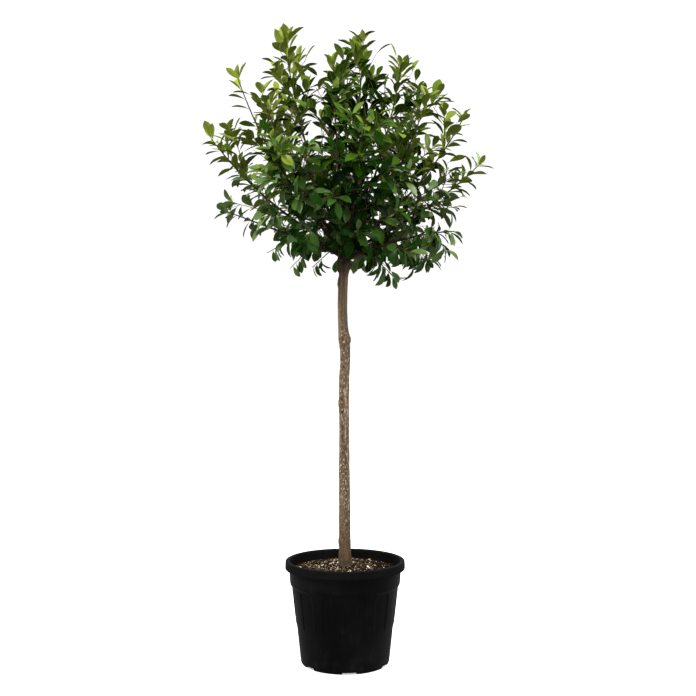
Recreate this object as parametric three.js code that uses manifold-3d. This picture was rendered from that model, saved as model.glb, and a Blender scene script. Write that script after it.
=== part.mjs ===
// A potted ornamental cherry, trained as a standard: a clear stem in a black
// nursery pot, a graft knuckle at its top, and a round crown of leafy shoots.
// Millimetres, +Z up. The origin is the centre of the pot's underside, +X is
// to the right and +Y to the back.

import * as THREE from 'three';
import { mergeVertices } from 'three/addons/utils/BufferGeometryUtils.js';
import Module from 'manifold-3d';

const wasm = await Module();
wasm.setup();

// Driving dimensions

const GAP = 0.3; // clearance between pieces that touch
const UP = new THREE.Vector3(0, 0, 1);
const GOLDEN_TURN = THREE.MathUtils.degToRad(137.5);

const POT = {
  height: 308,
  wall: 3,
  floor: 4,
  baseRadius: 132.5,
  cornerRadius: 10,
  shoulderZ: 226, // the wall steps out here to a plain collar
  shoulderRise: 12,
  wallTopRadius: 157.1,
  collarRadius: 165,
  collarFlare: 3.5,
  lipRadius: 180, // the rim is turned out and down again
  lipDrop: 25,
  lipRound: 8,
  facets: 30,
};
const RIB = {
  count: 12,
  bearing: -31.35,
  width: 34,
  proud: 2.2,
  root: 1, // depth sunk in the wall
  foot: 110,
  fade: 14, // height over which the rib's foot slopes out of the wall
  ringTurn: 0.02, // radians, so that its facets don't line up with the wall's
};
const DRAIN = { count: 6, bearing: -84, width: 44, depth: 30, height: 8, innerRadius: 112 };

const SOIL = { edgeZ: 277, crownZ: 286, seatRadius: 34 };

const TRUNK = {
  footRadius: 18,
  topRadius: 13.4,
  topZ: 1290,
  flare: 5, // extra radius at the soil, fading over flareHeight
  flareHeight: 20,
  headZ: 1130, // above this the rings are closer, for the knuckle and the fork
  bow: -2.7, // gentle bow to the left over the whole stem
  sides: 10,
  ringStep: 42,
  headRingStep: 13,
};
const SWELLINGS = [
  { z: 670, grow: -0.8, half: 80 },
  { z: 940, grow: 0.7, half: 110 },
  { z: 970, grow: 1.5, half: 20 },
  { z: 1190, grow: 8.5, half: 17 }, // graft knuckle
  { z: 1245, grow: 5, half: 34 }, // fork
];
const KINKS = [
  { z: 934, shift: 7.7, half: 76 },
  { z: 1023, shift: -7.1, half: 160 },
];
// Healed cuts: height, bearing round the stem, size
const KNOT = { sunk: 0.55, tall: 1.3 }; // shares of a knot's size
const KNOTS = [
  { z: 970, bearing: -20, size: 8 },
  { z: 1141, bearing: 190, size: 9 },
  { z: 778, bearing: 170, size: 6 },
  { z: 363, bearing: 185, size: 7 },
];

// Each leafy shoot: bearing from +X towards +Y, reach of its tip from the
// stem's axis and height of its tip above the ground.
const SHOOTS = [
  { name: 'left_leader', bearing: 172, reach: 186, tipZ: 1872 },
  { name: 'centre_leader', bearing: 20, reach: 58, tipZ: 1868 },
  { name: 'right_leader', bearing: -22, reach: 178, tipZ: 1768 },
  { name: 'back_leader', bearing: 88, reach: 190, tipZ: 1810 },
  { name: 'front_leader', bearing: -100, reach: 190, tipZ: 1745 },
  { name: 'right_upper', bearing: 22, reach: 262, tipZ: 1728 },
  { name: 'left_upper', bearing: 176, reach: 325, tipZ: 1758 },
  { name: 'left_front_upper', bearing: 214, reach: 285, tipZ: 1668 },
  { name: 'right_front_upper', bearing: -42, reach: 310, tipZ: 1640 },
  { name: 'back_left_upper', bearing: 132, reach: 315, tipZ: 1680 },
  { name: 'back_right_upper', bearing: 58, reach: 320, tipZ: 1650 },
  { name: 'right_middle', bearing: -8, reach: 352, tipZ: 1620 },
  { name: 'right_far', bearing: 5, reach: 405, tipZ: 1496 },
  { name: 'left_far', bearing: 181, reach: 402, tipZ: 1572 },
  { name: 'front_middle', bearing: -82, reach: 370, tipZ: 1530 },
  { name: 'front_left_middle', bearing: 238, reach: 365, tipZ: 1468 },
  { name: 'back_middle', bearing: 100, reach: 375, tipZ: 1540 },
  { name: 'right_low', bearing: -14, reach: 330, tipZ: 1285 },
  { name: 'left_low', bearing: 178, reach: 350, tipZ: 1352 },
  { name: 'front_right_low', bearing: -50, reach: 275, tipZ: 1212 },
  { name: 'front_left_low', bearing: 226, reach: 240, tipZ: 1252 },
  { name: 'back_left_low', bearing: 128, reach: 330, tipZ: 1345 },
  { name: 'back_right_low', bearing: 52, reach: 345, tipZ: 1335 },
];

const LIMB = {
  lowestFoot: 1200, // where the flattest limb leaves the head
  highestFoot: 1272, // and the steepest
  bareShare: 0.3, // of a limb's length, before its leaves begin
  footRadius: 6.2,
  tipRadius: 2.1,
  taperPower: 0.7, // a limb thins fastest near its foot
  outShare: 0.62, // how far out the limb's bend lies
  upShare: 0.29, // and how far up
  arch: 62, // lift of the flat limbs before they droop
  sides: 5,
  steps: 3,
  stemSides: 3,
  stemSteps: 6,
};
const TWIG = {
  perStem: 7,
  first: 0.03, // shares of the stem
  last: 0.84,
  lean: THREE.MathUtils.degToRad(52),
  longest: 165,
  shortest: 84,
  lengthSpread: 0.15, // share by which lengths vary
  steepLift: 0.22, // how far twigs turn up on a steep shoot
  flatLift: -0.16, // and down on a flat one
  footRadius: 2.6,
  tipRadius: 1.9,
  sides: 3,
};
const LEAF = {
  length: 104, // larger than life, since each stands for a spray
  width: 58,
  thickness: 1.5, // at its root
  widest: 0.42,
  fold: 5, // the edges stand above the midrib
  sag: 11, // and the tip bends down
  twigTipSize: 0.8, // share of the full size at a twig's tip
  stemTipSize: 0.62, // and at a shoot's tip
  steepDroop: 0.05, // how far leaves turn down on a steep shoot
  flatDroop: 0.95, // and on a flat one
  spread: THREE.MathUtils.degToRad(66),
  roll: THREE.MathUtils.degToRad(62),
  alongTwig: [0.42, 0.78, 0.97], // the last is the twig's tip
  alongStem: [0.14, 0.4, 0.66, 0.88],
};
// The crown's outline: its reach from the stem's axis to the left and right, by height
const CROWN = [
  { z: 1112, left: 90, right: 170 },
  { z: 1150, left: 160, right: 215 },
  { z: 1210, left: 210, right: 350 },
  { z: 1330, left: 390, right: 365 },
  { z: 1530, left: 445, right: 462 },
  { z: 1610, left: 435, right: 385 },
  { z: 1690, left: 350, right: 345 },
  { z: 1780, left: 390, right: 285 },
  { z: 1850, left: 260, right: 160 },
  { z: 1928, left: 235, right: 115 },
];
const FITS = [1, 0.78, 0.6]; // sizes that a twig or leaf is tried at before it is skipped
const SPACE_MARGIN = 4; // a shoot's leaves stay this much nearer to its own stem than to any other
const LIMB_CLEARANCE = 1.5;
const SEED = 41;
const SEED_STEP = 17; // from one shoot to the next

// Finishes

const potPlastic = new THREE.MeshStandardMaterial({ color: 0x1b1b1b, roughness: 0.5, metalness: 0 });
const pottingBark = new THREE.MeshStandardMaterial({ color: 0x443626, roughness: 0.95, metalness: 0 });
const bark = new THREE.MeshStandardMaterial({ color: 0x74624e, roughness: 0.85, metalness: 0 });
const foliage = new THREE.MeshStandardMaterial({ color: 0x3f5a1e, roughness: 0.4, metalness: 0 });

// Solids

function solidOf(geometry) {
  geometry.deleteAttribute('normal');
  geometry.deleteAttribute('uv');
  const merged = mergeVertices(geometry, 1e-3);
  const vertProperties = new Float32Array(merged.attributes.position.array);
  const triVerts = new Uint32Array(merged.index.array);
  return new wasm.Manifold(new wasm.Mesh({ numProp: 3, vertProperties, triVerts }));
}

function meshOf(name, solid, material) {
  const { vertProperties, triVerts } = solid.getMesh();
  const geometry = new THREE.BufferGeometry();
  geometry.setAttribute('position', new THREE.BufferAttribute(vertProperties, 3));
  geometry.setIndex(new THREE.BufferAttribute(triVerts, 1));
  geometry.computeVertexNormals();
  const mesh = new THREE.Mesh(geometry, material);
  mesh.name = name;
  return mesh;
}

function joined(solids) {
  return solids.reduce((whole, solid) => whole.add(solid));
}

// A hollow that joining seals is filled, and a loose scrap is dropped
function wholeBody(solid) {
  return solid.decompose().reduce((largest, body) => (body.volume() > largest.volume() ? body : largest));
}

// A shape turned round the upright axis from its radius and height pairs
function turned(profile, sides, start = 0) {
  const points = profile.map(([radius, z]) => new THREE.Vector2(radius, z));
  return new THREE.LatheGeometry(points, sides, start).rotateX(Math.PI / 2);
}

// A box whose middle lies out from the axis at a bearing, its width across that bearing
function boxAtBearing(bearing, radius, z, depth, width, height) {
  const box = new THREE.BoxGeometry(depth, width, height);
  return box.translate(radius, 0, z).rotateZ(THREE.MathUtils.degToRad(bearing));
}

// Pot: one moulded wall with a turned-over lip, flat ribs under the collar and
// drain slots at the foot of the wall.

function wallRadius(z) {
  const slope = (POT.wallTopRadius - POT.baseRadius) / (POT.shoulderZ - POT.cornerRadius);
  return POT.baseRadius + slope * (z - POT.cornerRadius);
}

function potProfile() {
  const { height, wall, floor, cornerRadius: corner, lipRadius: lip, lipRound } = POT;
  const shoulderTop = POT.shoulderZ + POT.shoulderRise;
  const lipFoot = height - POT.lipDrop;
  const neck = POT.collarRadius + POT.collarFlare;
  const outside = [
    [0, 0],
    [POT.baseRadius - corner, 0],
    [POT.baseRadius - 0.3 * corner, 0.3 * corner],
    [POT.baseRadius, corner],
    [POT.wallTopRadius, POT.shoulderZ],
    [POT.collarRadius, shoulderTop],
    [neck, lipFoot],
    [neck, height - 2 * wall],
    [lip - wall, height - 2 * wall],
    [lip - wall, lipFoot],
    [lip, lipFoot],
    [lip, height - lipRound],
    [lip - 0.3 * lipRound, height - 0.3 * lipRound],
    [lip - lipRound, height],
  ];
  const inside = [
    [neck - wall, height - wall],
    [neck - wall, lipFoot],
    [POT.collarRadius - wall, shoulderTop],
    [POT.wallTopRadius - wall, POT.shoulderZ],
    [POT.baseRadius - wall, corner + floor],
    [POT.baseRadius - corner - wall, floor],
    [0, floor],
  ];
  return outside.concat(inside);
}

function bearingsOf({ count, bearing }) {
  return Array.from({ length: count }, (_, index) => bearing + (360 / count) * index);
}

// The ribs are cut from a ring that stands proud of the wall and runs up into the shoulder
function ribsSolid() {
  const full = RIB.foot + RIB.fade;
  const top = POT.shoulderZ + 0.6 * POT.shoulderRise;
  const ring = turned([
    [wallRadius(RIB.foot) - RIB.root, RIB.foot],
    [wallRadius(full) + RIB.proud, full],
    [wallRadius(top) + RIB.proud, top],
    [wallRadius(top) + RIB.root, top],
    [POT.wallTopRadius - RIB.root, POT.shoulderZ],
    [wallRadius(RIB.foot) - RIB.root, RIB.foot],
  ], POT.facets, RIB.ringTurn);
  const middle = 0.5 * (RIB.foot + top);
  const tongues = bearingsOf(RIB).map((bearing) =>
    solidOf(boxAtBearing(bearing, POT.wallTopRadius, middle, RIB.width, RIB.width, POT.height)));
  return solidOf(ring).intersect(joined(tongues));
}

function potSolid() {
  const body = solidOf(turned(potProfile(), POT.facets));
  const slotRadius = DRAIN.innerRadius + 0.5 * DRAIN.depth;
  const slots = bearingsOf(DRAIN).map((bearing) =>
    solidOf(boxAtBearing(bearing, slotRadius, 0, DRAIN.depth, DRAIN.width, 2 * DRAIN.height)));
  return body.add(ribsSolid()).subtract(joined(slots));
}

// Potting bark: fills the pot to just under the rim, a little higher round the stem

function soilSolid() {
  const clear = POT.wall + GAP;
  const shoulderTop = POT.shoulderZ + POT.shoulderRise;
  return solidOf(turned([
    [0, POT.floor + GAP],
    [POT.baseRadius - POT.cornerRadius - clear, POT.floor + GAP],
    [POT.baseRadius - clear, POT.cornerRadius + POT.floor + GAP],
    [POT.wallTopRadius - clear, POT.shoulderZ + GAP],
    [POT.collarRadius - clear, shoulderTop],
    [POT.collarRadius + POT.collarFlare - clear - GAP, SOIL.edgeZ],
    [0.5 * POT.collarRadius, 0.4 * SOIL.edgeZ + 0.6 * SOIL.crownZ],
    [SOIL.seatRadius, SOIL.crownZ],
    [0, SOIL.crownZ],
  ], POT.facets));
}

// Trunk: a tapered stem with a flared foot, cut flat at the soil, its knuckle
// and fork swollen, bent along a slightly crooked axis.

const trunkFootZ = SOIL.crownZ + GAP;

function bell(z, { z: middle, half }) {
  return Math.exp(-(((z - middle) / half) ** 2));
}

function trunkRadius(z) {
  const share = (z - trunkFootZ) / (TRUNK.topZ - trunkFootZ);
  const taper = THREE.MathUtils.lerp(TRUNK.footRadius, TRUNK.topRadius, share);
  const flare = TRUNK.flare * Math.exp(-(z - trunkFootZ) / TRUNK.flareHeight);
  return SWELLINGS.reduce((radius, swelling) => radius + swelling.grow * bell(z, swelling), taper + flare);
}

function trunkAxis(z) {
  const share = (z - trunkFootZ) / (TRUNK.topZ - trunkFootZ);
  const bow = TRUNK.bow * Math.sin(Math.PI * share);
  const x = KINKS.reduce((shift, kink) => shift + kink.shift * bell(z, kink), bow);
  return new THREE.Vector3(x, 0, z);
}

function trunkRings() {
  const rings = [trunkFootZ, trunkFootZ + 0.5 * TRUNK.flareHeight, trunkFootZ + 1.5 * TRUNK.flareHeight];
  for (let z = rings[2] + TRUNK.ringStep; z < TRUNK.headZ; z += TRUNK.ringStep) rings.push(z);
  for (let z = TRUNK.headZ; z < TRUNK.topZ - TRUNK.headRingStep; z += TRUNK.headRingStep) rings.push(z);
  return rings;
}

function trunkSolid(grown) {
  const rings = trunkRings();
  const stem = turned([
    [0, trunkFootZ - grown],
    ...rings.map((z) => [trunkRadius(z) + grown, z === trunkFootZ ? z - grown : z]),
    [0, TRUNK.topZ + grown],
  ], TRUNK.sides);
  const place = stem.attributes.position;
  for (let i = 0; i < place.count; i += 1) place.setX(i, place.getX(i) + trunkAxis(place.getZ(i)).x);
  const knots = KNOTS.map(({ z, bearing, size }) => {
    const knot = new THREE.SphereGeometry(size + grown, 6, 4);
    const turn = THREE.MathUtils.degToRad(bearing);
    const out = trunkRadius(z) - KNOT.sunk * size;
    const middle = trunkAxis(z).add(new THREE.Vector3(out * Math.cos(turn), out * Math.sin(turn), 0));
    return solidOf(knot.scale(1, 1, KNOT.tall).translate(middle.x, middle.y, middle.z));
  });
  return joined([solidOf(stem), ...knots]);
}

// Limbs: a shoot is one curve from the trunk's axis to its tip. Its bare part
// is a bough, and its leafy part is the stem of a mass of foliage.

function limbCurve(shoot) {
  const turn = THREE.MathUtils.degToRad(shoot.bearing);
  const outward = new THREE.Vector3(Math.cos(turn), Math.sin(turn), 0);
  const steepness = Math.atan2(shoot.tipZ - LIMB.lowestFoot, shoot.reach) / (0.5 * Math.PI);
  const share = THREE.MathUtils.clamp(steepness, 0, 1);
  const foot = trunkAxis(THREE.MathUtils.lerp(LIMB.lowestFoot, LIMB.highestFoot, share));
  const tip = outward.clone().multiplyScalar(shoot.reach).setZ(shoot.tipZ);
  const rise = tip.z - foot.z;
  const bend = foot.clone().lerp(tip, LIMB.outShare);
  bend.z = foot.z + LIMB.upShare * rise + LIMB.arch * (1 - share);
  return new THREE.QuadraticBezierCurve3(foot, bend, tip);
}

// Unit vector square to a direction, turned round it from the level
function sideways(along, turn) {
  const level = new THREE.Vector3(along.y, -along.x, 0);
  if (level.lengthSq() < 1e-6) level.set(1, 0, 0);
  level.normalize();
  const upper = level.clone().cross(along);
  return level.multiplyScalar(Math.cos(turn)).addScaledVector(upper, Math.sin(turn));
}

// A tapered rod of few sides along a stretch of a curve
function rodSolid(curve, from, to, fromRadius, toRadius, sides, steps) {
  const rod = new THREE.CylinderGeometry(1, 1, 1, sides, steps);
  const place = rod.attributes.position;
  const chord = curve.getPoint(to).sub(curve.getPoint(from)).normalize();
  const across = sideways(chord, 0);
  for (let i = 0; i < place.count; i += 1) {
    const share = place.getY(i) + 0.5;
    const t = THREE.MathUtils.lerp(from, to, share);
    const radius = THREE.MathUtils.lerp(fromRadius, toRadius, share);
    const along = curve.getTangent(t);
    const side = across.clone().addScaledVector(along, -across.dot(along)).normalize();
    const point = curve.getPoint(t).addScaledVector(side, radius * place.getX(i));
    point.addScaledVector(side.cross(along), radius * place.getZ(i));
    place.setXYZ(i, point.x, point.y, point.z);
  }
  return solidOf(rod);
}

function limbRadius(t) {
  return THREE.MathUtils.lerp(LIMB.footRadius, LIMB.tipRadius, t ** LIMB.taperPower);
}

const limbs = SHOOTS.map((shoot) => {
  const curve = limbCurve(shoot);
  const step = 0.001;
  const speed = curve.getPoint(LIMB.bareShare + step).distanceTo(curve.getPoint(LIMB.bareShare)) / step;
  return { name: shoot.name, curve, stemFrom: LIMB.bareShare + GAP / speed };
});

function boughSolid(limb) {
  const { footRadius, bareShare, sides, steps } = LIMB;
  return rodSolid(limb.curve, 0, bareShare, footRadius, limbRadius(bareShare), sides, steps);
}

// Foliage: twigs stand round a stem by the golden angle, shorter towards its
// tip, and leaves stand round each twig the same way.

function seeded(seed) {
  let state = seed;
  return () => {
    state = (Math.imul(state, 1664525) + 1013904223) >>> 0;
    return state / 2 ** 32;
  };
}

function distanceToStem(point, stem) {
  const nearest = new THREE.Vector3();
  return Math.min(...stem.map((line) => line.closestPointToPoint(point, true, nearest).distanceTo(point)));
}

const STEM_END = 0.999; // share where a stem's last leaf is rooted
const stems = limbs.map(({ curve, stemFrom }) =>
  Array.from({ length: LIMB.stemSteps }, (_, index) => {
    const at = (count) => curve.getPoint(THREE.MathUtils.lerp(stemFrom, 1, count / LIMB.stemSteps));
    return new THREE.Line3(at(index), at(index + 1));
  }));

function onStem(stem, share) {
  const place = Math.min(share, STEM_END) * stem.length;
  const line = stem[Math.floor(place)];
  const along = line.delta(new THREE.Vector3()).normalize();
  return { foot: line.at(place % 1, new THREE.Vector3()), along };
}

// Reach of the crown at a point's height, going over from its left to its right round the stem
function crownReach({ x, y, z }) {
  const above = CROWN.findIndex((row) => row.z > z);
  if (above < 1) return 0;
  const [low, high] = [CROWN[above - 1], CROWN[above]];
  const share = (z - low.z) / (high.z - low.z);
  const rightness = 0.5 + 0.5 * Math.cos(Math.atan2(y, x));
  const left = THREE.MathUtils.lerp(low.left, high.left, share);
  return THREE.MathUtils.lerp(left, THREE.MathUtils.lerp(low.right, high.right, share), rightness);
}

function inOwnSpace(points, own) {
  return points.every((point) => {
    if (Math.hypot(point.x, point.y) > crownReach(point)) return false;
    const room = distanceToStem(point, stems[own]) + SPACE_MARGIN;
    return stems.every((stem, index) => index === own || distanceToStem(point, stem) > room);
  });
}

function twigLine(foot, along, turn, length, lift) {
  const heading = along.clone().multiplyScalar(Math.cos(TWIG.lean));
  heading.addScaledVector(sideways(along, turn), Math.sin(TWIG.lean)).addScaledVector(UP, lift);
  return new THREE.LineCurve3(foot, foot.clone().addScaledVector(heading.normalize(), length));
}

// A leaf has five corners: its root's upper and lower ends, its two edges and its tip
function leafGeometry(foot, heading, roll, size) {
  const leaf = new THREE.SphereGeometry(1, 3, 2);
  const level = sideways(heading, roll);
  const face = level.clone().cross(heading);
  const place = leaf.attributes.position;
  for (let i = 0; i < place.count; i += 1) {
    const edge = Math.round(place.getY(i));
    const tip = place.getX(i) < -0.5;
    const root = edge === 0 && !tip;
    const share = root ? 0 : tip ? 1 : LEAF.widest;
    const half = 0.5 * LEAF.thickness * Math.sign(place.getZ(i));
    const rise = size * (tip ? -LEAF.sag : LEAF.fold);
    const point = foot.clone().addScaledVector(heading, size * LEAF.length * share);
    point.addScaledVector(level, 0.5 * size * LEAF.width * edge).addScaledVector(face, root ? half : rise);
    place.setXYZ(i, point.x, point.y, point.z);
  }
  return leaf;
}

// Leaves stand off their twig at one angle, turned round it and then down by their droop
function leafHeading(along, turn, droop) {
  const out = sideways(along, turn).addScaledVector(UP, -droop);
  out.addScaledVector(along, -out.dot(along)).normalize();
  return out.multiplyScalar(Math.sin(LEAF.spread)).addScaledVector(along, Math.cos(LEAF.spread));
}

// The corners of a small solid, and points halfway between them
function samplePoints(geometry) {
  const place = geometry.attributes.position;
  const corner = (_, i) => new THREE.Vector3().fromBufferAttribute(place, i % place.count);
  const corners = Array.from({ length: place.count }, corner);
  return corners.concat(corners.map((point, i) => point.clone().lerp(corner(null, i + 1), 0.5)));
}

function foliageSolid(own, obstacles) {
  const { curve, stemFrom } = limbs[own];
  const random = seeded(SEED + SEED_STEP * own);
  const rise = THREE.MathUtils.clamp(curve.getTangent(0.8).z, 0, 1);
  const droop = THREE.MathUtils.lerp(LEAF.flatDroop, LEAF.steepDroop, rise);
  const lift = THREE.MathUtils.lerp(TWIG.flatLift, TWIG.steepLift, rise);
  const { tipRadius, stemSides, stemSteps } = LIMB;
  const stem = rodSolid(curve, stemFrom, 1, limbRadius(stemFrom), tipRadius, stemSides, stemSteps);
  const pieces = [stem];

  // A piece joins the mass if it touches only the rod that carries it
  const joins = (piece, carrier) => piece.intersect(obstacles).isEmpty()
    && pieces.every((other) => other === carrier || piece.intersect(other).isEmpty())
    && pieces.push(piece);

  const addLeaf = (carrier, foot, heading, size) => {
    const roll = LEAF.roll * (2 * random() - 1);
    FITS.some((fit) => {
      const geometry = leafGeometry(foot, heading, roll, fit * size);
      return inOwnSpace(samplePoints(geometry), own) && joins(solidOf(geometry), carrier);
    });
  };

  const addTwig = ({ foot, along }, turn, length) => {
    for (const fit of FITS) {
      const line = twigLine(foot, along, turn, fit * length, lift);
      const rod = rodSolid(line, 0, 1, TWIG.footRadius, TWIG.tipRadius, TWIG.sides, 1);
      if (inOwnSpace(line.getPoints(4).slice(1), own) && joins(rod, stem)) return { line, rod };
    }
    return null;
  };

  const phase = 2 * Math.PI * random();
  for (let index = 0; index < TWIG.perStem; index += 1) {
    const share = index / (TWIG.perStem - 1);
    const place = onStem(stems[own], THREE.MathUtils.lerp(TWIG.first, TWIG.last, share));
    const vary = 1 + TWIG.lengthSpread * (2 * random() - 1);
    const length = vary * THREE.MathUtils.lerp(TWIG.longest, TWIG.shortest, share);
    const twig = addTwig(place, phase + GOLDEN_TURN * index, length);
    if (!twig) continue;
    const along = twig.line.getTangent(0);
    LEAF.alongTwig.forEach((at, leaf) => {
      const last = leaf === LEAF.alongTwig.length - 1;
      const heading = last ? along : leafHeading(along, phase + GOLDEN_TURN * (index + leaf), droop);
      addLeaf(twig.rod, twig.line.getPoint(at), heading, last ? LEAF.twigTipSize : 1);
    });
  }
  const top = onStem(stems[own], STEM_END);
  addLeaf(stem, top.foot, top.along, LEAF.stemTipSize);
  LEAF.alongStem.forEach((share, leaf) => {
    const { foot, along } = onStem(stems[own], share);
    const heading = leafHeading(along, phase + GOLDEN_TURN * (leaf + 0.5), 0.5 * droop);
    addLeaf(stem, foot, heading, THREE.MathUtils.lerp(1, LEAF.stemTipSize, share));
  });
  return wholeBody(joined(pieces));
}

// Assembly

const tree = new THREE.Group();
tree.name = 'potted_ornamental_cherry';
tree.add(meshOf('pot', potSolid(), potPlastic));
tree.add(meshOf('potting_bark', soilSolid(), pottingBark));
tree.add(meshOf('trunk', trunkSolid(0), bark));

const trunkClear = trunkSolid(GAP);
const boughs = limbs.map((limb) => boughSolid(limb).subtract(trunkClear));
boughs.forEach((bough, index) => tree.add(meshOf(`bough_${limbs[index].name}`, bough, bark)));

const obstacles = joined([trunkSolid(LIMB_CLEARANCE), ...boughs]);
limbs.forEach((limb, index) =>
  tree.add(meshOf(`foliage_${limb.name}`, foliageSolid(index, obstacles), foliage)));

export default tree;
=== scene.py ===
import bpy
import numpy as np
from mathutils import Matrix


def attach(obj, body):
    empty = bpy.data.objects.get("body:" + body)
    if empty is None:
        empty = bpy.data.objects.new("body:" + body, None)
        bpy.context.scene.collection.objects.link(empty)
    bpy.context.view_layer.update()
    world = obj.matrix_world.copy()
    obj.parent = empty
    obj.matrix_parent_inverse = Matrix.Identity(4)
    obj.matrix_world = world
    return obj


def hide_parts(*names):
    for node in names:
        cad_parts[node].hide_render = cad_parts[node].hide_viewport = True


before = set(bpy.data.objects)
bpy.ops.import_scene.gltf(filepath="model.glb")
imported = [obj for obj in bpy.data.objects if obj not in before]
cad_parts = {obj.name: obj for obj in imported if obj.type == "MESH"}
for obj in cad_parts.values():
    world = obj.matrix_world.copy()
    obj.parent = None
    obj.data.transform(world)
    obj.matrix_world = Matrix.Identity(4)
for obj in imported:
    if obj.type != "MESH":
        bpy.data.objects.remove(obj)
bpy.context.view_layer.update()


# Nursery pot: black polypropylene, moulded in one thin wall and standing on its flat
# underside. Below a plain collar the wall is sunk in twelve arched panels with flat ribs
# between them, six drain notches open at its foot, and the rim is turned out and down.

pot_height = 0.308
pot_wall = 0.003
pot_floor = 0.004
pot_ease = pot_step = 0.005
pot_foot_radius = 0.1325
pot_foot_corner = 0.010
pot_shoulder = 0.226
pot_wall_top_radius = 0.1571
pot_collar_radius = 0.165
pot_collar_rise = 0.012
pot_neck_radius = 0.1685
pot_lip_radius = 0.180
pot_lip_foot = 0.283
panel_count = 12
panel_bearing = np.radians(-46.35)
panel_spacing = np.radians(360 / panel_count)
panel_half_angle = np.radians(8.8)
panel_depth = 0.0022
panel_foot, panel_top, panel_arch = 0.108, 0.232, 0.016
notch_count = 6
notch_bearing = np.radians(-84)
notch_spacing = np.radians(360 / notch_count)
notch_half_angle = np.radians(9.8)
notch_height = 0.008
notch_inner_radius = 0.112


def smoothstep(low, high, x):
    """0 below low, 1 above high, and 3 s squared less 2 s cubed between them."""
    s = np.clip((x - low) / (high - low), 0, 1)
    return s * s * (3 - 2 * s)


def eased(corners, ease, steps):
    """Profile with its corners rounded: each inner corner becomes the parabola that leaves
    its two sides at the distance `ease` from it. The first and last points stay."""
    corners = np.array(corners)
    middle, before, after = corners[1:-1], corners[:-2], corners[2:]

    def towards(other):
        """Points `ease` from the corners, or less where a side is short."""
        way = other - middle
        span = np.linalg.norm(way, axis=1, keepdims=True)
        return middle + way / span * np.minimum(ease, 0.45 * span)

    s = np.linspace(0, 1, steps)[None, :, None]
    first, last = towards(before)[:, None], towards(after)[:, None]
    curves = (1 - s) ** 2 * first + 2 * s * (1 - s) * middle[:, None] + s**2 * last
    return np.concatenate([corners[:1], curves.reshape(-1, 2), corners[-1:]])


def spaced(profile, step):
    """Profile with further points on its long sides, so that none is much over `step`."""
    run = np.concatenate([[0], np.cumsum(np.linalg.norm(np.diff(profile, axis=0), axis=1))])
    stops = np.unique(np.concatenate([run, np.arange(0, run[-1], step)]).round(6))
    stops = stops[np.concatenate([[True], np.diff(stops) > 0.00025])]
    return np.stack([np.interp(stops, run, profile[:, axis]) for axis in (0, 1)], axis=1)


def from_nearest(bearing, first, spacing):
    """Angle from the nearest of the evenly spaced bearings that start at `first`."""
    return np.abs((bearing - first + spacing / 2) % spacing - spacing / 2)


def all_round(count):
    """Evenly spaced bearings, once round."""
    return np.linspace(0, 2 * np.pi, count, endpoint=False)


def polar(radius, bearing, height):
    """Points from radius, bearing and height, which broadcast together."""
    x, y = radius * np.cos(bearing), radius * np.sin(bearing)
    return np.stack(np.broadcast_arrays(x, y, height), axis=-1)


def turned_faces(rows, columns):
    """Faces of rings that close round: quads between neighbouring rings, and a fan to the
    middle point of each end, which follow the rings as the last two points."""
    here = np.arange(columns)
    beyond = (here + 1) % columns
    row = columns * np.arange(rows - 1)[:, None]
    quads = np.stack([row + here, row + beyond, row + columns + beyond, row + columns + here], axis=-1)
    last = columns * (rows - 1)
    first_fan = np.stack([np.full(columns, rows * columns), beyond, here], axis=-1)
    last_fan = np.stack([last + here, last + beyond, np.full(columns, rows * columns + 1)], axis=-1)
    return [quads.reshape(-1, 4), np.concatenate([first_fan, last_fan])]


def in_scene(name, data):
    """New object at the origin with this data."""
    made = bpy.data.objects.new(name, data)
    bpy.context.scene.collection.objects.link(made)
    return made


def solid(name, points, faces, finishes, finish_of_face=None, sharp=None):
    """Object from an array of points, a list of face arrays (three or four corners each)
    and its finishes, smooth but for edges over the angle `sharp`."""
    mesh = bpy.data.meshes.new(name)
    corners = np.concatenate([group.ravel() for group in faces])
    sizes = np.concatenate([np.full(len(group), group.shape[1]) for group in faces])
    mesh.vertices.add(len(points))
    mesh.loops.add(len(corners))
    mesh.polygons.add(len(sizes))
    mesh.vertices.foreach_set("co", np.ravel(points).astype(np.float32))
    mesh.loops.foreach_set("vertex_index", corners.astype(np.int32))
    mesh.polygons.foreach_set("loop_start", (np.cumsum(sizes) - sizes).astype(np.int32))
    mesh.polygons.foreach_set("use_smooth", np.ones(len(sizes), bool))
    for made_finish in finishes:
        mesh.materials.append(made_finish)
    if finish_of_face is not None:
        mesh.polygons.foreach_set("material_index", finish_of_face.astype(np.int32))
    mesh.update(calc_edges=True)
    if sharp is not None:
        mesh.set_sharp_from_angle(angle=np.radians(sharp))
    return in_scene(name, mesh)


def piece(name, points, faces, finishes, slot, replaced, finish_of_face=None, sharp=None):
    """Solid that rides on the part's one body."""
    made = solid(name, points, faces, finishes, finish_of_face, sharp)
    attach(made, "root")
    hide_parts(*replaced)
    return made


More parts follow.
